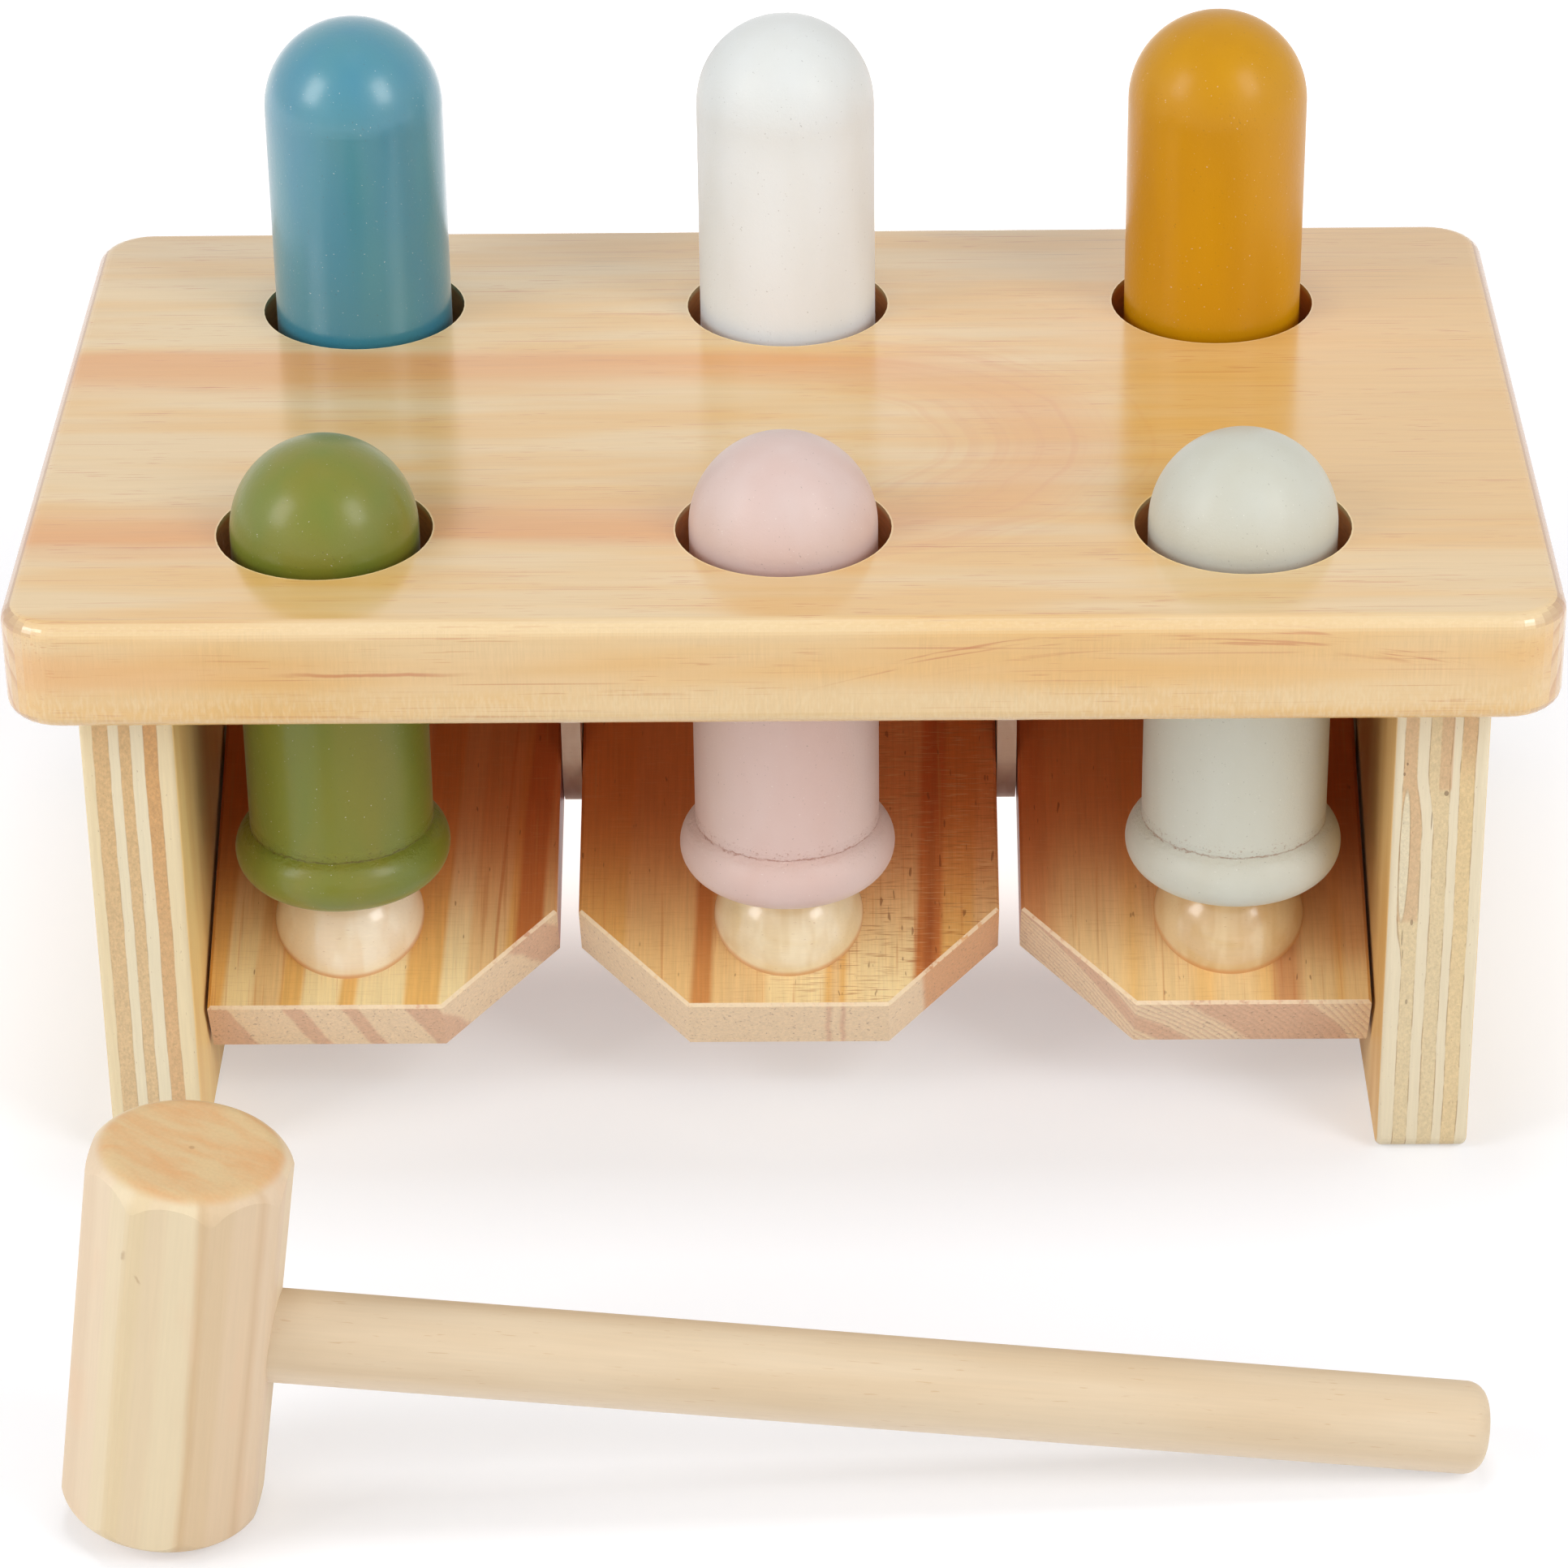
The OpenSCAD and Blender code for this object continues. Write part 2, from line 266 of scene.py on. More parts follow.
# Places that the frame gives
board_low, board_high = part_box("top_board")
board_top = Vector(((board_low.x + board_high.x) / 2, (board_low.y + board_high.y) / 2, board_high.z))
joints = {joint["name"]: joint for joint in frame["joints"]}
PIVOT = Vector(joints["middle_rock"]["pos_m"])
TILT = math.radians(joints["middle_rock"]["range_deg"][1]) / 2
PADDLE_TURN = (TILT, 0, 0)
PADDLE_HALF = 6.1


def make_camera():
    camera = bpy.data.objects.new("camera", bpy.data.cameras.new("camera"))
    bpy.context.scene.collection.objects.link(camera)
    camera.data.lens = CAMERA_LENS
    camera.data.sensor_width = SENSOR
    camera.data.clip_end = CAMERA_CLIP
    camera.matrix_world = (
        Matrix.Translation(board_top + CAMERA_FROM_BOARD)
        @ Matrix.Rotation(-CAMERA_YAW, 4, "Z")
        @ Matrix.Rotation(math.pi / 2 - CAMERA_PITCH, 4, "X")
        @ Matrix.Rotation(-CAMERA_ROLL, 4, "Z")
    )
    bpy.context.scene.camera = camera
    bpy.context.scene.view_settings.view_transform = "Standard"


def make_lamp(name, direction, size, watts, mirrored):
    lamp = bpy.data.lights.new(name, "AREA")
    lamp.shape = "RECTANGLE"
    lamp.size, lamp.size_y = size
    lamp.energy = watts
    thing = bpy.data.objects.new(name, lamp)
    bpy.context.scene.collection.objects.link(thing)
    away = Vector(direction).normalized()
    thing.location = board_top + away * LAMP_DISTANCE
    thing.rotation_euler = away.to_track_quat("Z", "Y").to_euler()
    thing.visible_glossy = mirrored


def looked_at(n):
    """1 for what the camera, a mirror or glass shows, 0 for light on the object."""
    path = n.node("ShaderNodeLightPath").outputs
    return n.larger(path["Is Camera Ray"], path["Is Glossy Ray"], path["Is Transmission Ray"])


def make_world():
    world = bpy.data.worlds.new("studio")
    bpy.context.scene.world = world
    world.use_nodes = True
    world.node_tree.nodes.clear()
    n = Nodes(world.node_tree)
    height = n.split(n.node("ShaderNodeTexCoord").outputs["Generated"])["Z"]
    sky = n.step(height, 0.0, 1.0, HORIZON, ZENITH)
    lit = n.node("ShaderNodeBackground", {"Color": WHITE, "Strength": sky}).outputs[0]
    shown = n.node("ShaderNodeBackground", {"Color": WHITE, "Strength": 1.0}).outputs[0]
    both = n.node("ShaderNodeMixShader", {0: looked_at(n), 1: lit, 2: shown}).outputs[0]
    n.node("ShaderNodeOutputWorld", {"Surface": both})


def floor_finish():
    material = bpy.data.materials.new("floor_white")
    material.use_nodes = True
    material.node_tree.nodes.clear()
    n = Nodes(material.node_tree)
    shown = looked_at(n)
    place = n.split(n.node("ShaderNodeTexCoord").outputs["Object"])
    sideways = n.size(place["X"])
    away = n.larger(sideways, n.times(n.size(place["Y"]), GLOW_DEPTH))
    growing = n.node(
        "ShaderNodeMapRange",
        {"Value": away, "From Min": GLOW_FROM, "From Max": GLOW_TO, "To Min": 1.0, "To Max": GLOW_FAR},
    )
    # Painted light: a glow between the legs that lifts the bench's shadow on the floor
    rear = n.times(n.step(place["Y"], *REAR_DEPTH), n.step(sideways, *REAR_WIDTH, PAINTED_LIGHT_BETWEEN_LEGS, 0.0))
    strength = n.times(shown, n.plus(rear, growing.outputs[0]))
    glow = n.node("ShaderNodeEmission", {"Color": FLOOR_GLOW, "Strength": strength}).outputs[0]
    tint = n.mix(shown, FLOOR_WHITE, FLOOR_SEEN)
    diffuse = n.node("ShaderNodeBsdfDiffuse", {"Color": tint}).outputs[0]
    both = n.node("ShaderNodeAddShader", {0: diffuse, 1: glow}).outputs[0]
    n.node("ShaderNodeOutputMaterial", {"Surface": both})
    return material


def make_floor():
    half = FLOOR_SIZE / 2
    mesh = bpy.data.meshes.new("floor")
    corners = [(-half, -half, 0), (half, -half, 0), (half, half, 0), (-half, half, 0)]
    mesh.from_pydata(corners, [], [(0, 1, 2, 3)])
    thing = bpy.data.objects.new("floor", mesh)
    bpy.context.scene.collection.objects.link(thing)
    wear(thing, floor_finish())


make_camera()
for name, lamp in LAMPS.items():
    make_lamp(name, *lamp)
make_world()
make_floor()


# Top board: satin lacquered pine
BOARD_PALE = colour(227, 195, 143)
BOARD_GOLD = colour(226, 179, 106)
BOARD_ORANGE = colour(221, 149, 66)
BOARD_ARC = colour(214, 148, 88)
BOARD_RED = colour(188, 104, 58)
BOARD_STREAK = colour(162, 112, 86)
BOARD_REAR = colour(206, 172, 142)
BOARD_END_EARLY = colour(218, 182, 134)
BOARD_END_LATE = colour(200, 150, 102)
BOARD_BROWNED = colour(166, 118, 78)
SIDE_PALE = colour(225, 193, 144)
SIDE_GOLD = colour(223, 181, 118)
SIDE_MOTTLE = colour(233, 209, 165)
EDGE_PALE = colour(231, 208, 167)
EDGE_WORN = colour(244, 222, 182)
RIM_PALE = colour(250, 222, 160)
HOLE_WALL = colour(232, 154, 90)
HOLE_PITCH_X = 72.0
HOLE_OFF_Y = 41.75
HOLE_RADIUS = 17.0
BOARD_HALF_D = (board_high.y - board_low.y) / MM / 2
# The tree's heart lies this far in front of the board's middle, and this far below its upper face
HEART_FRONT = 12.0
HEART_DEPTH = 62.0
YEAR = 3.6
# The growth lines stray this far as they run along. They close in an arc that is longer than it is deep:
# the share of a distance to the right that counts in it, and where along the board it sets in
STRAY = 12.0
ARC_SHARE = 0.75
ARC_X = (0, 30)
ARC_LINES_X = (0, 18)
# The orange ring by its distance from the heart: its rise, the start of its fall, and the fall's end on
# the left and in the arc
RING_RISE = (17, 31)
RING_FALL = 32.5
RING_END = (36.5, 44.0)
# The middle, half width and softness of the arc's lines and of a second band near the front edge
ARC_LINES = (31.0, 9.0, 8.0)
FRONT_BAND = (-46.0, 1.5, 7.0)
# The places between which a tone changes on the upper face
FRONT_BAND_X = (-85, -35)
GOLD_X = (35, 85)
GOLD_Y = (-62, -30)
STREAKS_Y = (BOARD_HALF_D - 30, BOARD_HALF_D - 4)
# The front and rear faces, measured down from the upper one: an orange band, a red line at the front,
# arched lines and mottling
WARM_BAND = (-8.0, 0.8, 3.6)
WARM_BAND_X = (-116, -55)
RED_LINE = (-8.5, 0.12, 0.3)
RED_LINE_X = (-63.0, 6.0, 12.0)
ARCH_BAND = (-2.6, 1.0, 2.2)
ARCH_BAND_X = (0, 25)
ARCH_TOP_X = 62.0
ARCH_BEND = 0.0024
MOTTLE_Z = (-14, -9)


class BoardPine(Finish):
    """The upper face, then what differs on the ends, the sides, the edges and the holes."""

    def __init__(self):
        super().__init__("board_pine", board_top, roughness=0.2, coat=1.0, coat_roughness=0.18)
        warp = self.noise((90, 16, 16))
        self.line_y = self.moved(self.y, warp, STRAY)
        self.heart_y = self.plus(self.line_y, HEART_FRONT)
        self.cloud = self.step(self.noise((70, 9, 9), seed=7.0), 0.34, 0.68)
        self.fibre = self.noise((22, 0.42, 0.42), detail=3, roughness=0.6, seed=11.0)
        self.saw = self.noise((0.28, 4, 5), detail=3, roughness=0.7, seed=53.0)
        self.end = self.step(self.square_to((1, 0, 0)), 0.55, 0.85)
        self.side = self.step(self.square_to((0, 1, 0)), 0.6, 0.9)

    def growth(self):
        """Growth runs straight along the left half and closes in an arc on the right."""
        x, y, z = self.x, self.y, self.z
        arc_x = self.times(self.larger(x, 0.0), ARC_SHARE)
        field = self.distance(self.heart_y, arc_x)
        ring = self.between(field, RING_RISE, (RING_FALL, self.step(x, *ARC_X, *RING_END)))
        tint = self.mix(self.cloud, BOARD_PALE, BOARD_GOLD)
        tint = self.lay(tint, BOARD_GOLD, self.step(x, *GOLD_X), self.step(y, *GOLD_Y, 0.0, 0.8))
        tint = self.lay(tint, BOARD_ORANGE, ring, self.step(x, *ARC_X, 0.84, 0.5))
        arcs = self.noise((1.9, 3.0, 4), self.join(field, self.times(x, 0.06), z), seed=35.0)
        bent = self.times(self.stripe(field, *ARC_LINES), self.step(x, *ARC_LINES_X, 0.0, 0.3))
        tint = self.lay(tint, BOARD_ARC, self.step(arcs, 0.46, 0.66), bent)
        front_band = self.stripe(self.line_y, *FRONT_BAND)
        return self.lay(tint, BOARD_ORANGE, front_band, self.step(x, *FRONT_BAND_X, 0.4, 0.05))

    def fibres(self, tint):
        """Fine growth lines and fibres, and red-brown dashes, hairs and streaks along the grain."""
        along = self.join(self.times(self.x, 0.012), self.line_y, self.z)
        line = self.noise((1, 1.6, 1.6), along, detail=3, seed=3.0)
        tint = self.shade(tint, line, 0.95, 1.04)
        tint = self.shade(tint, self.fibre, 0.96, 1.03)
        dash = self.step(self.noise((9, 0.28, 0.28), detail=1, seed=19.0), 0.65, 0.72)
        dash_group = self.step(self.noise((30, 8, 8), detail=1, seed=23.0), 0.46, 0.6)
        tint = self.lay(tint, BOARD_RED, self.times(dash, dash_group), 0.7)
        hair = self.step(self.noise((60, 0.3, 0.3), detail=1, seed=29.0), 0.66, 0.72)
        hair_group = self.step(self.noise((26, 5, 5), detail=1, seed=30.0), 0.46, 0.56)
        tint = self.lay(tint, BOARD_RED, self.times(hair, hair_group), 0.75)
        # The streaks are thickest near the rear edge
        streak = self.step(self.noise((38, 0.5, 0.5), seed=31.0), 0.63, 0.72)
        rear = self.step(self.y, *STREAKS_Y)
        tint = self.lay(tint, BOARD_STREAK, streak, self.plus(self.times(rear, 0.35), 0.22))
        return self.lay(tint, BOARD_REAR, rear, 0.12)

    def ends(self, tint):
        """End grain, darker and finely pored, with roundings that the cutter has browned."""
        rings = self.distance(self.heart_y, self.plus(self.z, HEART_DEPTH))
        year = self.math("FRACT", self.math("DIVIDE", rings, YEAR))
        late = self.between(year, (0.45, 0.93), (0.95, 1.0))
        end_tint = self.mix(late, BOARD_END_EARLY, BOARD_END_LATE)
        end_tint = self.shade(end_tint, self.noise(0.35, seed=41.0), 0.86, 1.06)
        tint = self.mix(self.end, tint, end_tint)
        browned = self.stripe(self.square_to((1, 0, 0)), 0.68, 0.22, 0.2)
        browned = self.times(browned, self.step(self.square_to((0, 0, 1)), 0.15, 0.35))
        return self.lay(tint, BOARD_BROWNED, browned, 0.7)

    def sides(self, tint):
        """Saw marks, an orange band from the left corner, arched lines and a mottled lower half."""
        x, y, z = self.x, self.y, self.z
        side_tint = self.mix(0.45, tint, self.mix(self.cloud, SIDE_PALE, SIDE_GOLD))
        saw_patch = self.step(self.noise((12, 12, 5), seed=55.0), 0.38, 0.62, 0.25, 1.0)
        side_tint = self.mix(saw_patch, side_tint, self.shade(side_tint, self.saw, 0.9, 1.08))
        warm = self.stripe(self.moved(z, self.noise((30, 30, 6), seed=56.0), 5.0), *WARM_BAND)
        side_tint = self.lay(side_tint, BOARD_ORANGE, warm, self.step(x, *WARM_BAND_X, 0.42, 0.08))
        from_top = self.minus(x, ARCH_TOP_X)
        arch = self.plus(z, self.times(from_top, from_top, ARCH_BEND))
        arch_line = self.noise((13, 0.5, 4), self.join(x, arch, y), seed=57.0)
        arch_line = self.times(self.step(arch_line, 0.56, 0.68), self.stripe(arch, *ARCH_BAND))
        side_tint = self.lay(side_tint, BOARD_RED, arch_line, self.step(x, *ARCH_BAND_X, 0.0, 0.5))
        mottle = self.step(self.noise((0.5, 1.1, 1.7), detail=3, seed=59.0), 0.42, 0.7, 0.1, 0.45)
        side_tint = self.lay(side_tint, SIDE_MOTTLE, mottle, self.step(z, *MOTTLE_Z, 1.0, 0.0))
        red_line = self.stripe(self.moved(z, self.noise(5, seed=54.0), 0.8), *RED_LINE)
        red_line = self.times(red_line, self.stripe(x, *RED_LINE_X))
        on_front = self.step(self.facing((0, -1, 0)), 0.5, 0.8, 0.0, 0.6)
        side_tint = self.lay(side_tint, BOARD_RED, red_line, on_front)
        return self.mix(self.side, tint, side_tint)

    def edges(self, tint):
        """The front and rear roundings are paler, with a worn line that is broken into specks."""
        edge = self.times(self.facing((0, 0, 1)), self.square_to((0, 1, 0)))
        tint = self.lay(tint, EDGE_PALE, self.step(edge, 0.12, 0.42), 0.45)
        grit = self.step(self.noise((0.9, 0.5, 0.5), seed=61.0), 0.44, 0.64)
        return self.lay(tint, EDGE_WORN, self.times(self.step(edge, 0.36, 0.47), grit), 0.14)

    def holes(self, tint):
        """A pale sanded rim, and bare, browned walls. Gives the tint and where the walls are."""
        off_x = self.size(self.minus(self.size(self.x), HOLE_PITCH_X / 2))
        off_x = self.size(self.minus(off_x, HOLE_PITCH_X / 2))
        off_y = self.minus(self.size(self.y), HOLE_OFF_Y)
        radius = self.distance(off_x, off_y)
        tint = self.lay(tint, RIM_PALE, self.stripe(radius, HOLE_RADIUS + 0.08, 0.08, 0.14), 0.6)
        wall = self.step(radius, HOLE_RADIUS + 0.3, HOLE_RADIUS + 0.1)
        wall = self.times(wall, self.step(self.z, -1.2, -0.3, 1.0, 0.0))
        rings = self.noise((2.5, 2.5, 0.5), detail=3, seed=67.0)
        return self.mix(wall, tint, self.shade(HOLE_WALL, rings, 0.75, 1.1)), wall


def board_pine():
    f = BoardPine()
    tint = f.fibres(f.growth())
    tint = f.edges(f.sides(f.ends(tint)))
    tint, wall = f.holes(tint)
    bare = f.larger(f.end, wall, f.times(f.side, 0.6))
    normal = f.relief(f.fibre, 0.006)
    normal = f.relief(f.times(f.saw, f.side), 0.05, normal)
    return f.done(tint, normal, f.step(bare, 0.0, 1.0, 0.17, 0.5))


# Legs: seven-ply panels standing on edge
LIGHT_PLY = colour(232, 214, 175)
PALE_PLY = colour(232, 219, 188)
DARK_PLY = colour(217, 181, 131)
BROWN_PLY = colour(212, 164, 108)
CREAM_PLY = colour(230, 216, 186)
SOFT_PLY = colour(223, 200, 157)
WARM_PLY = colour(226, 198, 148)
RED_PLY = colour(208, 164, 122)
PLY_SPECK = colour(140, 92, 56)
PLY_GLUE = colour(160, 118, 76)
PLY_VOID = colour(110, 76, 46)
LENS_RIM = colour(172, 138, 98)
LENS_PALE = colour(228, 214, 182)
OUTER_VENEER = (colour(236, 209, 160), colour(227, 193, 137))
# The plies run from the left face to the right one, each to its right edge in millimetres.
# Each leg has its inner veneer, whose tones hold painted light and shade, which way its outer face looks,
# how its pits and glue lines show, and if it has the doubled ply
LEGS = {
    "left_leg": {
        "edges": (2.05, 4.5, 6.15, 7.95, 10.0, 12.15, 16.0),
        "tints": (LIGHT_PLY, DARK_PLY, PALE_PLY, DARK_PLY, PALE_PLY, BROWN_PLY, LIGHT_PLY),
        "veneer_and_painted_light": (colour(250, 218, 150), colour(241, 202, 132)),
        "outward": -1, "pits": (0.72, 1.2), "glue": 0.3, "doubled": False,
    },
    "right_leg": {
        "edges": (1.5, 3.6, 5.4, 8.9, 10.4, 12.7, 16.0),
        "tints": (CREAM_PLY, SOFT_PLY, CREAM_PLY, SOFT_PLY, CREAM_PLY, WARM_PLY, CREAM_PLY),
        "veneer_and_painted_light": (colour(230, 189, 124), colour(219, 172, 103)),
        "outward": 1, "pits": (0.78, 1.15), "glue": 0.6, "doubled": True,
    },
}
PLY_SOFT = 0.05
# The cross plies are paler towards the floor, between these heights
PALE_FOOT_Z = (20, 80)
# Where the doubled ply pushes: its rise and fall across the leg, the heights that it dies out between,
# and how far it pushes
SWELLINGS = (((1.0, 2.2), (2.6, 3.4), (34, 46), 1.1), ((2.8, 4.2), (7.2, 9.0), (60, 72), 1.2))
# Upright ovals on the right leg's front: the middle, and half the width and height
LENS_RIM_OVAL = (2.2, 55.5, 0.95, 13.0)
LENS_OVAL = (2.2, 55.5, 0.8, 12.8)
VOIDS = (
    (3.9, 43.4, 0.25, 0.6), (2.5, 40.6, 0.12, 1.6), (2.7, 37.4, 0.1, 1.0), (3.7, 28.6, 0.22, 0.5),
    (8.3, 66.9, 0.4, 0.5), (6.2, 62.0, 0.09, 1.8), (1.6, 70.4, 0.2, 0.35), (2.0, 72.2, 0.15, 0.3),
)
# The cross plies' redder upper ends: the left and right edge, and the heights that the red sets in between
RED_ENDS = ((1.5, 4.8, 43, 44), (7.1, 9.1, 67, 68), (10.5, 12.7, 66, 78))
RED_SOFT = 0.1
RED_SHARE = 0.6
# The first of them narrows from the right: its edge, the heights that it narrows between, and by how much
NARROWED_X = (4.6, 4.8)
NARROWED_Z = (60, 72)
NARROWED_BY = 1.2


def soft_edge(place, soft):
    """The two values that a soft edge runs between."""
    return place - soft, place + soft


def oval(f, at_x, at_z, half_x, half_z):
    """1 inside an upright oval on the leg's front, falling to 0 at its edge."""
    off_x = f.math("DIVIDE", f.minus(f.x, at_x), half_x)
    off_z = f.math("DIVIDE", f.minus(f.z, at_z), half_z)
    return f.step(f.plus(f.times(off_x, off_x), f.times(off_z, off_z)), 0.7, 1.0, 1.0, 0.0)


def swelling(f):
    """How far the doubled ply pushes its neighbours aside below the middle of the right leg."""
    total = 0.0
    for rise, fall, heights, push in SWELLINGS:
        total = f.plus(total, f.times(f.between(f.x, rise, fall), f.step(f.z, *heights, push, 0.0)))
    return total


def doubled_ply(f, tint):
    """The right leg's lens of pale wood, the redder upper ends of its cross plies, and small voids."""
    slid = f.plus(f.x, f.step(f.z, *NARROWED_Z, 0.0, NARROWED_BY))
    narrowed = f.step(slid, *NARROWED_X, RED_SHARE, 0.0)
    for (left, right, low, high), share in zip(RED_ENDS, (narrowed, RED_SHARE, RED_SHARE)):
        across = f.between(f.x, soft_edge(left, RED_SOFT), soft_edge(right, RED_SOFT))
        tint = f.lay(tint, RED_PLY, f.times(across, f.step(f.z, low, high)), share)
    tint = f.mix(oval(f, *LENS_RIM_OVAL), tint, LENS_RIM)
    tint = f.mix(oval(f, *LENS_OVAL), tint, LENS_PALE)
    for void in VOIDS:
        tint = f.lay(tint, PLY_VOID, oval(f, *void), 0.65)
    return tint


def leg_plywood(node):
    leg = LEGS[node]
    edges = leg["edges"]
    low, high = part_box(node)
    f = Finish(node + "_plywood", Vector((low.x, (low.y + high.y) / 2, 0)))
    depth = f.moved(f.x, f.noise((60, 26, 30), detail=3, roughness=0.6, seed=2.0), 1.3)
    if leg["doubled"]:
        depth = f.minus(depth, swelling(f))
    tint = f.bands(depth, 0.0, list(zip(edges, leg["tints"])), 0.06)
    if leg["doubled"]:
        tint = doubled_ply(f, tint)
    # The second, fourth and sixth plies lie across: their end grain is darker, pitted and ragged
    cross = 0.0
    for left, right in zip(edges[0::2], edges[1::2]):
        cross = f.plus(cross, f.between(depth, soft_edge(left, PLY_SOFT), soft_edge(right, PLY_SOFT)))
    cross = f.step(cross, 0.4, 0.6)
    tint = f.lay(tint, PALE_PLY, cross, f.step(f.z, *PALE_FOOT_Z, 0.22, 0.0))
    grain_up = f.noise((0.35, 0.35, 9), detail=3, roughness=0.6, seed=5.0)
    pits = f.noise((0.42, 0.42, 0.6), detail=3, roughness=0.7, seed=9.0)
    tint = f.mix(cross, f.shade(tint, grain_up, 0.93, 1.05), f.shade(tint, pits, *leg["pits"]))
    speck = f.noise((0.3, 0.3, 0.9), seed=10.0)
    tint = f.lay(tint, PLY_SPECK, f.step(speck, 0.7, 0.78), 0.4)
    # Thin, broken glue lines between the plies
    glue = 0.0
    for line in edges[:-1]:
        glue = f.plus(glue, f.stripe(depth, line, 0.02, 0.13))
    unbroken = f.step(f.noise((2.5, 2.5, 7), detail=3, roughness=0.7, seed=11.0), 0.42, 0.62)
    tint = f.lay(tint, PLY_GLUE, f.times(glue, unbroken), leg["glue"])
    # The faces are one golden veneer with a flame along the grain. The inner face is lighter or darker
    # than the outer one as painted light and shade for how light falls on it
    face = f.step(f.square_to((1, 0, 0)), 0.75, 0.95)
    flame = f.step(f.noise((6, 9, 60), detail=3, distortion=0.6, seed=13.0), 0.35, 0.65)
    inner_painted_light = f.mix(flame, *leg["veneer_and_painted_light"])
    outer = f.mix(flame, *OUTER_VENEER)
    veneer_and_painted_light = f.mix(f.step(f.facing((leg["outward"], 0, 0)), -0.1, 0.1), inner_painted_light, outer)
    veneer_and_painted_light = f.shade(veneer_and_painted_light, f.noise((0.4, 0.4, 12), detail=3, seed=17.0), 0.93, 1.05)
    tint = f.mix(face, tint, veneer_and_painted_light)
    pitted = f.minus(cross, f.times(cross, face))
    bump = f.relief(grain_up, 0.04)
    bump = f.relief(f.times(pits, pitted), 0.15, bump)
    return f.done(tint, bump)


# Paddles: orange-brown pine, tilted with their rod
STRAW = colour(253, 229, 173)
TAN = colour(244, 206, 146)
AMBER = colour(242, 191, 112)
RUST = colour(206, 126, 66)
DEEP_PAINTED_SHADE = colour(222, 146, 88)
PAINTED_SHADE_TINT = colour(236, 172, 140)
BROWN = colour(176, 98, 48)
RESIN = colour(128, 62, 30)
END_PALE = colour(246, 218, 181)
END_BROWN = colour(229, 186, 152)
END_RED = colour(228, 170, 120)
END_LATE = colour(213, 168, 135)
END_SPECK = colour(140, 92, 66)
PADDLE_WORN = colour(246, 224, 190)
# The distances from the rod that the painted shade dies out between
PAINTED_SHADE_REACH = (12.0, 55.0)


class PaddleWood(Finish):
    """What the three paddles share: fibres, worn edges and end grain. Each adds its own bands."""

    def __init__(self, name):
        super().__init__(name, PIVOT, PADDLE_TURN, roughness=0.42, coat=0.15, coat_roughness=0.3)
        turned = Euler(PADDLE_TURN).to_matrix()
        self.end_face = self.square_to(turned @ Vector((0, 1, 0)))
        self.top_face = self.square_to(turned @ Vector((0, 0, 1)))
        self.warp = self.noise((9, 60, 9), detail=3, seed=4.0)
        self.scratches = 0.12
        self.marks = 0.0

    def finish(self, tint, end_tint):
        # Painted shade: deeper and redder away from the ends, under the board, where little light reaches
        reach = self.step(self.size(self.y), *PAINTED_SHADE_REACH)
        tint = self.mix(self.step(reach, 0.0, 0.9, 0.6, 0.0), tint, DEEP_PAINTED_SHADE)
        tint = self.tinted(tint, self.mix(reach, PAINTED_SHADE_TINT, WHITE))
        fibre = self.noise((0.42, 12, 0.42), detail=3, roughness=0.65, seed=8.0)
        tint = self.shade(tint, fibre, 0.84, 1.1)
        streak = self.noise((0.6, 26, 0.6), seed=10.0)
        tint = self.lay(tint, RUST, self.step(streak, 0.6, 0.72), 0.4)
        # Fine scratches across the grain, and short dark resin marks along it
        dark = self.noise((6, 0.3, 3), roughness=0.7, seed=12.0)
        tint = self.lay(tint, BROWN, self.step(dark, 0.52, 0.68), self.scratches)
        pale = self.noise((5, 0.3, 3), roughness=0.7, seed=13.0)
        tint = self.lay(tint, STRAW, self.step(pale, 0.54, 0.7), self.times(self.scratches, 0.35))
        mark = self.plus(self.noise((0.7, 3.0, 0.7), detail=1, seed=43.0), self.marks)
        tint = self.lay(tint, RESIN, self.step(mark, 0.74, 0.8), 0.6)
        pores = self.noise(0.5, detail=3, roughness=0.7, seed=15.0)
        end_tint = self.shade(end_tint, pores, 0.8, 1.14)
        speck = self.noise(0.6, seed=21.0)
        end_tint = self.lay(end_tint, END_SPECK, self.step(speck, 0.62, 0.72), 0.45)
        end = self.step(self.end_face, 0.35, 0.6)
        tint = self.mix(end, tint, end_tint)
        rubbed = self.step(self.times(self.end_face, self.top_face), 0.12, 0.3)
        patchy = self.step(self.noise(1.1, seed=27.0), 0.3, 0.5)
        tint = self.lay(tint, PADDLE_WORN, self.times(rubbed, patchy), 0.7)
        bump = self.relief(fibre, 0.04)
        bump = self.relief(self.times(pores, end), 0.12, bump)
        return self.done(tint, bump)


# Each paddle's bands start at a place across it and run to their upper ends, and its end grain's do too
LEFT_START = -110.0
LEFT_BANDS = (
    (-92.4, AMBER), (-87.5, STRAW), (-83.1, TAN), (-79.6, AMBER), (-73.4, STRAW), (-70.9, AMBER),
    (-62.6, STRAW), (-57.0, AMBER), (-53.0, STRAW), (-46.8, TAN), (-45.6, AMBER), (-41.4, RUST),
    (-36.0, TAN),
)
LEFT_END_BANDS = (
    (-91.8, END_BROWN), (-82.8, END_PALE), (-79.6, END_BROWN), (-73.2, END_PALE), (-70.6, END_BROWN),
    (-62.6, END_PALE), (-57.2, END_BROWN), (-46.8, END_PALE), (-41.4, END_BROWN), (-36.0, END_PALE),
)
LEFT_LINE = (-48.4, 0.1, 0.25)
MIDDLE_START = -40.0
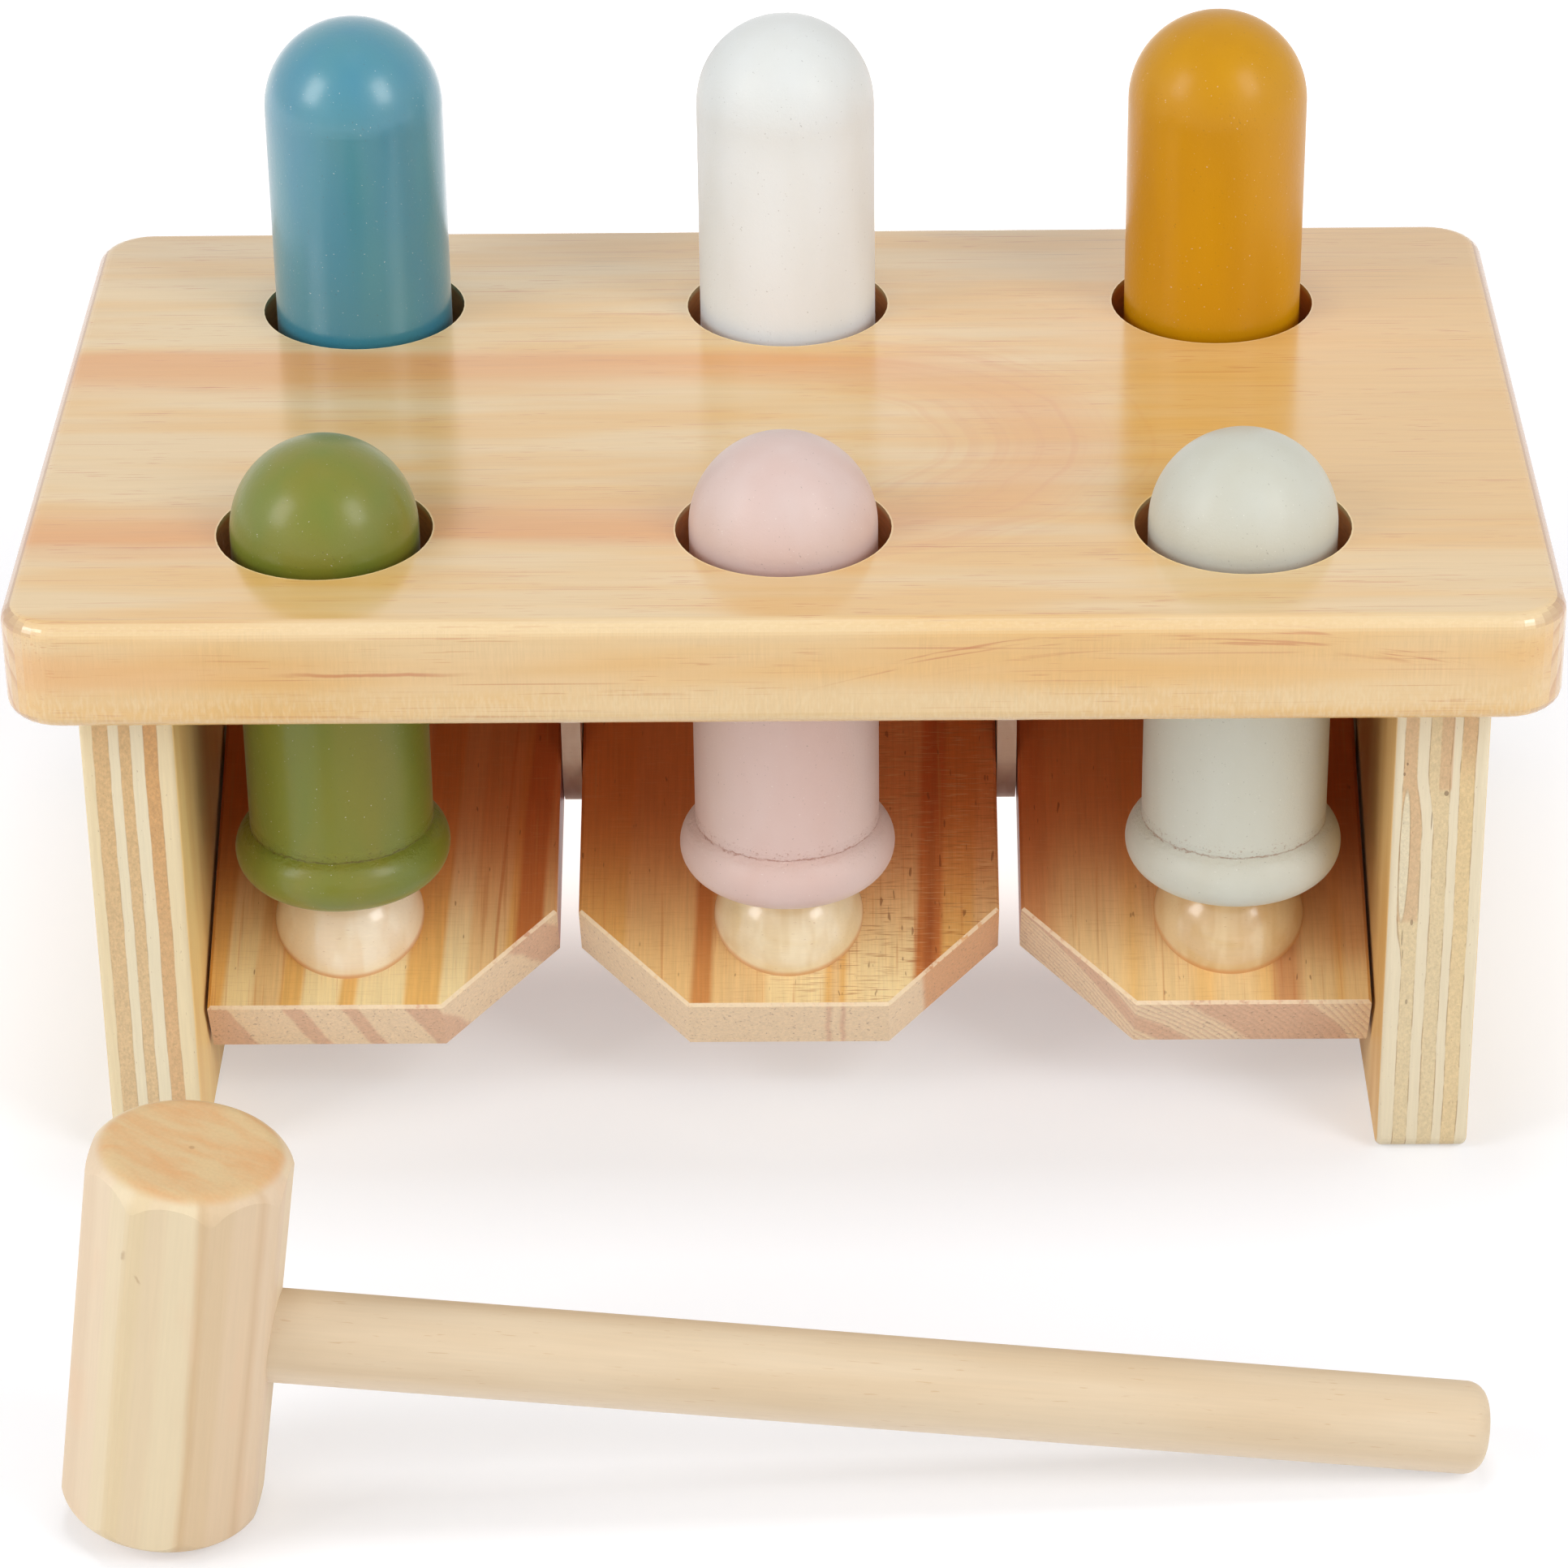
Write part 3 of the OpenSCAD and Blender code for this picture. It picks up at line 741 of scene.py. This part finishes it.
MIDDLE_BANDS = (
    (-27.0, AMBER), (-15.9, TAN), (-12.6, RUST), (-4.0, TAN), (5.7, STRAW), (6.6, AMBER), (8.2, TAN),
    (9.1, AMBER), (20.4, STRAW), (21.9, RUST), (23.4, BROWN), (24.6, RUST), (30.0, AMBER), (40.0, TAN),
)
MIDDLE_END_BANDS = (
    (-14.0, END_PALE), (6.1, END_PALE), (6.8, END_BROWN), (8.4, END_PALE), (9.1, END_BROWN),
    (21.7, END_PALE), (40.0, END_RED),
)
# Where across the middle paddle its scratches and its dark marks grow
SCRATCHES_X = (-12, 12)
MARKS_X = (-4, 14)
# The right paddle's run outwards from the tree's heart, which lies below it and to the left
RIGHT_START = 38.0
RIGHT_BANDS = (
    (42.9, RUST), (47.0, TAN), (48.2, AMBER), (53.0, TAN), (55.5, AMBER), (60.5, TAN), (62.2, AMBER),
    (66.0, RUST), (70.0, TAN), (71.0, AMBER), (80.0, TAN),
)
RIGHT_END_BANDS = (
    (41.0, END_PALE), (44.5, END_BROWN), (52.0, END_PALE), (66.6, END_BROWN), (80.0, END_PALE),
)
RIGHT_HEART_X = 32.0
RIGHT_HEART_DEPTH = 35.0
RIGHT_YEAR = 1.15
# It is rustier towards its right side and behind its front end
RUSTY_X = (78, 91)
RUSTY_Y = (-54, -44)
# The bands drift sideways from the front end, which is this far from the rod
FRONT_END = 57.0


def left_paddle_wood():
    f = PaddleWood("left_paddle_pine")
    drift = f.times(f.plus(f.y, FRONT_END), -0.06)
    slant = f.times(f.minus(f.z, PADDLE_HALF), 0.42)
    across = f.moved(f.plus(f.x, drift, slant), f.warp, 2.2)
    tint = f.bands(across, LEFT_START, LEFT_BANDS, 0.4)
    tint = f.lay(tint, RUST, f.stripe(across, *LEFT_LINE), 0.6)
    return f.finish(tint, f.bands(across, LEFT_START, LEFT_END_BANDS, 0.3))


def middle_paddle_wood():
    f = PaddleWood("middle_paddle_pine")
    f.scratches = f.step(f.x, *SCRATCHES_X, 0.14, 0.62)
    f.marks = f.step(f.x, *MARKS_X, 0.01, 0.04)
    drift = f.times(f.plus(f.y, FRONT_END), -0.035)
    across = f.moved(f.plus(f.x, drift), f.warp, 2.0)
    tint = f.bands(across, MIDDLE_START, MIDDLE_BANDS, 0.5)
    cloud = f.noise((12, 40, 12), seed=33.0)
    tint = f.lay(tint, AMBER, f.step(cloud, 0.4, 0.65), 0.3)
    return f.finish(tint, f.bands(across, MIDDLE_START, MIDDLE_END_BANDS, 0.3))


def right_paddle_wood():
    f = PaddleWood("right_paddle_pine")
    ring = f.distance(f.minus(f.x, RIGHT_HEART_X), f.plus(f.z, RIGHT_HEART_DEPTH))
    ring = f.moved(ring, f.warp, 2.4)
    tint = f.mix(0.25, f.bands(ring, RIGHT_START, RIGHT_BANDS, 0.7), STRAW)
    tint = f.lay(tint, RUST, f.step(f.x, *RUSTY_X), f.step(f.y, *RUSTY_Y, 0.0, 0.55))
    year = f.math("FRACT", f.math("DIVIDE", ring, RIGHT_YEAR))
    end_tint = f.bands(ring, RIGHT_START, RIGHT_END_BANDS, 0.5)
    end_tint = f.lay(end_tint, END_LATE, f.step(year, 0.35, 0.9), 0.5)
    return f.finish(tint, end_tint)


# Buttons, rod, dowels and dividers: pale turned wood, in a pale and a deeper tone
BUTTON_TONES = {
    "left": (colour(248, 231, 202), colour(242, 219, 184)),
    "middle": (colour(244, 226, 190), colour(234, 210, 166)),
    "right": (colour(232, 204, 156), colour(221, 186, 133)),
}
ROD_TONES = (colour(236, 214, 178), colour(222, 192, 150))
DIVIDER_TONES = (colour(234, 208, 186), colour(222, 188, 162))
BUTTON_FOOT_PAINTED_SHADE = colour(214, 148, 84)
TURNED_DASH = colour(176, 122, 74)


def turned_wood(node, tones, button=False):
    if button:
        f = Finish(node + "_wood", PIVOT, PADDLE_TURN, roughness=0.3, coat=1.0, coat_roughness=0.14)
    else:
        f = Finish(node + "_wood", (0, 0, 0), roughness=0.5)
    flame = f.noise((3.2, 14, 9), distortion=0.35, seed=6.0)
    tint = f.mix(f.step(flame, 0.36, 0.64), *tones)
    if button:
        # Painted shade: a darker amber round the foot, where the button meets the paddle
        foot = f.step(f.z, PADDLE_HALF + 0.2, PADDLE_HALF + 1.3, 0.75, 0.0)
        tint = f.mix(foot, tint, BUTTON_FOOT_PAINTED_SHADE)
    fibre = f.noise((7, 0.45, 0.45), detail=3, roughness=0.6, seed=12.0)
    tint = f.shade(tint, fibre, 0.95, 1.03)
    dash = f.noise((1.6, 0.3, 0.3), detail=1, seed=20.0)
    tint = f.lay(tint, TURNED_DASH, f.step(dash, 0.72, 0.78), 0.3)
    return f.done(tint, f.relief(fibre, 0.01))


# Pegs: satin paint over turned wood. The seam is where the shaft leaves the collar
SEAM_HEIGHT = 9.6
FOOT_HEIGHT = 0.6
DOME_FROM = 54.0
DOME_TO = 72.0
DUST = colour(250, 249, 244)
PIN_MARK = colour(70, 56, 40)
SEAM_SHADE = colour(212, 186, 176)
BARE_WOOD = colour(214, 180, 132)
# Two tones of the paint, its gloss and sheen, and a tone that the dome is darkened by as painted shade,
# against the light from above
PAINTS = {
    "green_peg": (colour(112, 124, 42), colour(126, 124, 38), 0.4, 0.15, colour(248, 248, 248)),
    "pink_peg": (colour(222, 198, 192), colour(219, 190, 182), 0.12, 0.12, colour(247, 250, 250)),
    "grey_peg": (colour(208, 209, 198), colour(204, 203, 189), 0.12, 0.12, colour(248, 248, 248)),
    "blue_peg": (colour(52, 131, 156), colour(64, 136, 152), 0.88, 0.3, colour(250, 250, 250)),
    "white_peg": (colour(234, 239, 242), colour(231, 235, 236), 0.12, 1.0, colour(240, 238, 234)),
    "mustard_peg": (colour(202, 143, 2), colour(196, 137, 3), 0.22, 0.0, colour(250, 252, 255)),
}


def paint(node):
    base, other, gloss, sheen, dome_painted_shade = PAINTS[node]
    low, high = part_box(node)
    foot = Vector(((low.x + high.x) / 2, (low.y + high.y) / 2, low.z))
    f = Finish(node + "_paint", foot, roughness=0.4, coat=gloss, coat_roughness=0.24)
    f.shader.inputs["Specular IOR Level"].default_value = 0.12 + gloss / 2
    f.shader.inputs["Sheen Weight"].default_value = sheen
    f.shader.inputs["Sheen Roughness"].default_value = 0.3
    cloud = f.noise((9, 9, 26), seed=3.0)
    tint = f.mix(f.step(cloud, 0.25, 0.75), base, other)
    # Painted shade: the dome is darkened where the light from above falls strongest
    tint = f.mix(f.step(f.z, DOME_FROM, DOME_TO), tint, f.tinted(tint, dome_painted_shade))
    # Fine dust specks, pale and dark
    speck = f.noise(0.38, detail=1, seed=14.0)
    tint = f.lay(tint, DUST, f.step(speck, 0.75, 0.8), 0.35)
    pin = f.noise(0.42, detail=1, seed=16.0)
    tint = f.lay(tint, PIN_MARK, f.step(pin, 0.74, 0.78), 0.3)
    # Torn grain in the seam above the collar
    ragged = f.noise((1.3, 1.3, 0.7), detail=3, roughness=0.7, seed=19.0)
    seam = f.stripe(f.moved(f.z, ragged, 1.2), SEAM_HEIGHT, 0.05, 0.2)
    broken = f.step(f.noise(2.2, seed=22.0), 0.34, 0.5, 0.45, 1.0)
    dots = f.step(f.noise((0.5, 0.5, 0.35), detail=1, seed=23.0), 0.62, 0.7, 0.0, 0.6)
    dots = f.times(dots, f.stripe(f.z, SEAM_HEIGHT + 0.9, 0.5, 1.0))
    torn = f.larger(f.times(seam, broken), dots)
    tint = f.mix(torn, tint, f.tinted(tint, SEAM_SHADE))
    # The turned foot shows a little bare wood at its rim
    rim = f.step(f.plus(f.z, f.times(ragged, 0.8)), FOOT_HEIGHT, FOOT_HEIGHT + 0.3, 0.55, 0.0)
    tint = f.mix(rim, tint, BARE_WOOD)
    normal = f.relief(f.noise(0.9, detail=3, roughness=0.7, seed=18.0), 0.055)
    normal = f.relief(f.times(f.stripe(f.z, SEAM_HEIGHT, 0.8, 1.2), ragged), 0.35, normal)
    return f.done(tint, normal)


# Mallet: very pale sanded wood
# Bands round the head, each to its angle in degrees from the near side. They hold the wood's tone and
# painted light and shade: each facet lighter or darker by how light falls on it
HEAD_BANDS_AND_FACET_SHADE = (
    (-150.0, colour(226, 202, 170)), (-100.0, colour(232, 212, 180)), (-62.0, colour(226, 202, 172)),
    (-48.0, colour(230, 208, 178)), (-34.0, colour(229, 210, 176)), (-22.0, colour(225, 203, 164)),
    (-10.0, colour(227, 205, 170)), (9.0, colour(230, 211, 176)), (13.0, colour(214, 184, 144)),
    (28.0, colour(220, 193, 156)), (46.0, colour(224, 198, 165)), (50.5, colour(215, 185, 150)),
    (75.0, colour(225, 200, 170)), (120.0, colour(230, 208, 176)), (180.0, colour(226, 202, 170)),
)
HEAD_BLUSH = colour(228, 192, 158)
HEAD_MARK = colour(150, 104, 64)
HEAD_END_EARLY = colour(219, 190, 143)
HEAD_END_LATE = colour(219, 170, 119)
HEAD_PITH = colour(150, 100, 60)
# Two short marks on the near facet: across, up the head, and how far each leans
MARKS = ((-8.2, 20.6, 0.1), (-6.0, 17.2, -0.45))
# How far a step across the sawn end goes through the growth bands, for each way across
END_SLANT = (0.5, 0.86)
HANDLE_PALE = colour(221, 200, 170)
HANDLE_DEEP = colour(215, 191, 158)
HANDLE_UNDER_PAINTED_LIGHT = colour(246, 228, 206)
HANDLE_DASH = colour(190, 148, 102)


def mallet_frame():
    """The middle of the head and the turn of the handle, from the handle's own mesh."""
    handle = np.array([tuple(vertex.co) for vertex in nodes["mallet_handle"].data.vertices])
    axis = np.linalg.svd(handle - handle.mean(0), full_matrices=False)[2][0]
    axis = axis if axis[0] > 0 else -axis
    low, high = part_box("mallet_head")
    return (low + high) / 2, (0, math.asin(-axis[2]), math.atan2(axis[1], axis[0]))


def mallet_head_wood(origin, turn):
    f = Finish("mallet_head_wood", origin, turn, roughness=0.55)
    x, y, z = f.x, f.y, f.z
    # Broad soft bands follow the facets round the bar: the wood's tone, and painted light and shade
    angle = f.math("DEGREES", f.math("ARCTAN2", x, f.times(y, -1.0)))
    angle = f.moved(angle, f.noise((9, 9, 40), seed=4.0), 7.0)
    tint = f.bands(angle, -180.0, HEAD_BANDS_AND_FACET_SHADE, 2.4)
    fibre = f.noise((0.5, 0.5, 12), detail=3, seed=16.0)
    tint = f.shade(tint, fibre, 0.94, 1.0)
    blush = f.noise((7, 7, 20), seed=28.0)
    tint = f.lay(tint, HEAD_BLUSH, f.step(blush, 0.55, 0.75), 0.35)
    near = f.step(y, 0.0, -4.0, 0.0, 0.36)
    uneven = f.times(f.minus(f.noise(1.2, seed=36.0), 0.5), 1.6)
    for at_x, at_z, lean in MARKS:
        slip = f.minus(f.minus(x, at_x), f.times(f.minus(z, at_z), lean))
        off = f.size(f.plus(slip, f.times(uneven, 0.4)))
        mark = f.times(f.step(off, 0.06, 0.4, 1.0, 0.0), f.stripe(f.plus(z, uneven), at_z, 0.3, 0.7))
        tint = f.lay(tint, HEAD_MARK, mark, near)
    # The sawn ends are darker, with soft slanting growth bands and a pith speck
    across = f.plus(f.times(x, END_SLANT[0]), f.times(y, END_SLANT[1]))
    across = f.moved(across, f.noise((14, 14, 30), seed=24.0), 6.0)
    growth = f.join(across, f.times(x, 0.3), 0.0)
    growth = f.noise((5.5, 5.5, 1), growth, detail=4, roughness=0.6, seed=26.0)
    end_tint = f.mix(f.step(growth, 0.36, 0.66), HEAD_END_EARLY, HEAD_END_LATE)
    end_tint = f.shade(end_tint, f.noise(0.5, seed=32.0), 0.94, 1.04)
    end_tint = f.mix(f.step(f.distance(x, y), 0.2, 0.6, 0.4, 0.0), end_tint, HEAD_PITH)
    end = f.step(f.square_to(Euler(turn).to_matrix() @ Vector((0, 0, 1))), 0.72, 0.97)
    return f.done(f.mix(end, tint, end_tint), f.relief(fibre, 0.02))


def mallet_handle_wood(origin, turn):
    f = Finish("mallet_handle_wood", origin, turn, roughness=0.55)
    cloud = f.noise((50, 7, 7), seed=4.0)
    tint = f.mix(f.step(cloud, 0.3, 0.7), HANDLE_PALE, HANDLE_DEEP)
    # Painted light: the underside is paler, against the shade that falls below the handle
    tint = f.mix(f.step(f.z, 0.0, -7.0), tint, HANDLE_UNDER_PAINTED_LIGHT)
    fibre = f.noise((14, 0.5, 0.5), detail=3, seed=16.0)
    tint = f.shade(tint, fibre, 0.96, 1.03)
    dash = f.noise((3.5, 0.35, 0.35), detail=1, seed=20.0)
    tint = f.lay(tint, HANDLE_DASH, f.step(dash, 0.7, 0.78), 0.35)
    return f.done(tint, f.relief(fibre, 0.02))


wear(nodes["top_board"], board_pine())
for node in LEGS:
    wear(nodes[node], leg_plywood(node))
wear(nodes["left_paddle"], left_paddle_wood())
wear(nodes["middle_paddle"], middle_paddle_wood())
wear(nodes["right_paddle"], right_paddle_wood())
for side, tones in BUTTON_TONES.items():
    for end in ("front", "rear"):
        node = side + "_" + end + "_button"
        wear(nodes[node], turned_wood(node, tones, button=True))
for node in ("board_dowels", "pivot_rod"):
    wear(nodes[node], turned_wood(node, ROD_TONES))
for node in ("left_divider", "right_divider"):
    wear(nodes[node], turned_wood(node, DIVIDER_TONES))
for node in PAINTS:
    wear(nodes[node], paint(node))
mallet = mallet_frame()
wear(nodes["mallet_head"], mallet_head_wood(*mallet))
wear(nodes["mallet_handle"], mallet_handle_wood(*mallet))
